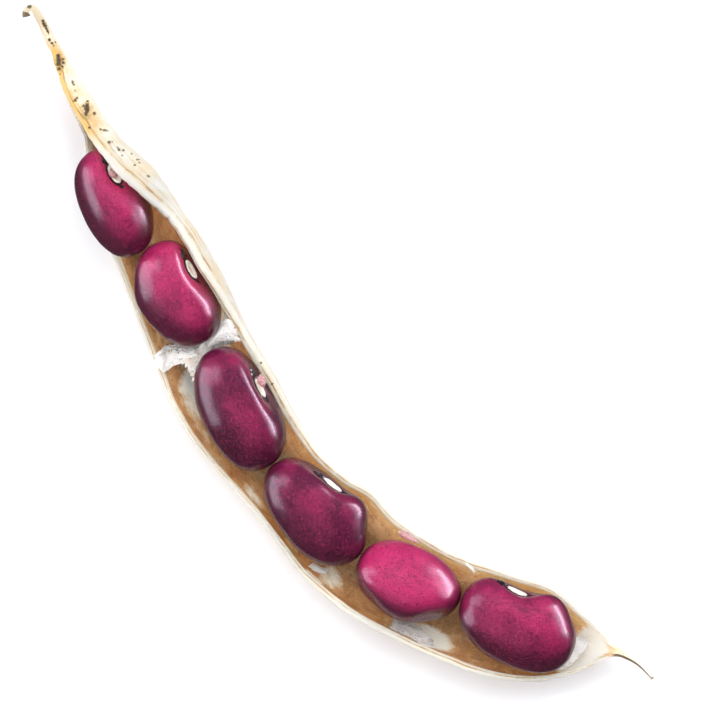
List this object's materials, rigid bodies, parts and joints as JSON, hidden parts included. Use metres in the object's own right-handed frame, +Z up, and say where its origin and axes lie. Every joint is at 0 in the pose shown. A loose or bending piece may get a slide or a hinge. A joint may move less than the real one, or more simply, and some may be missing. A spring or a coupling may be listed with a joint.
{
  "type": "open dried bean pod valve with hidatsa red beans",
  "caption": "Half of a dried bean pod lying open, a thin twisted shell with a hooked stalk end and a curled beak, with kidney-shaped red beans in a row along its seam.",
  "frame": {"origin": "middle of the outline's box, on the surface that the pod lies on", "axes": "+X along the pod from the stalk to the beak, +Y across it towards the seam that bears the beans, +Z up, out of the open side"},
  "size_m": [0.1012, 0.0212, 0.0105],
  "materials": {
    "pod_wall": "dry, cream outside and tan inside, silky sheen",
    "bean_coat": "smooth hard seed coat, glossy, maroon red",
    "bean_stalk": "dry and matte, pink brown",
    "pod_lining": "papery film, off-white, satin"
  },
  "bodies": {
    "root": {"pod_valve": "pod_wall", "bean_1": "bean_coat", "bean_2": "bean_coat", "bean_3": "bean_coat", "bean_4": "bean_coat", "bean_5": "bean_coat", "bean_6": "bean_coat", "bean_stalk_1": "bean_stalk", "bean_stalk_3": "bean_stalk", "bean_stalk_5": "bean_stalk", "lining_flap_1": "pod_lining", "lining_flap_2": "pod_lining", "lining_flap_3": "pod_lining", "lining_flap_4": "pod_lining"}
  },
  "joints": []
}
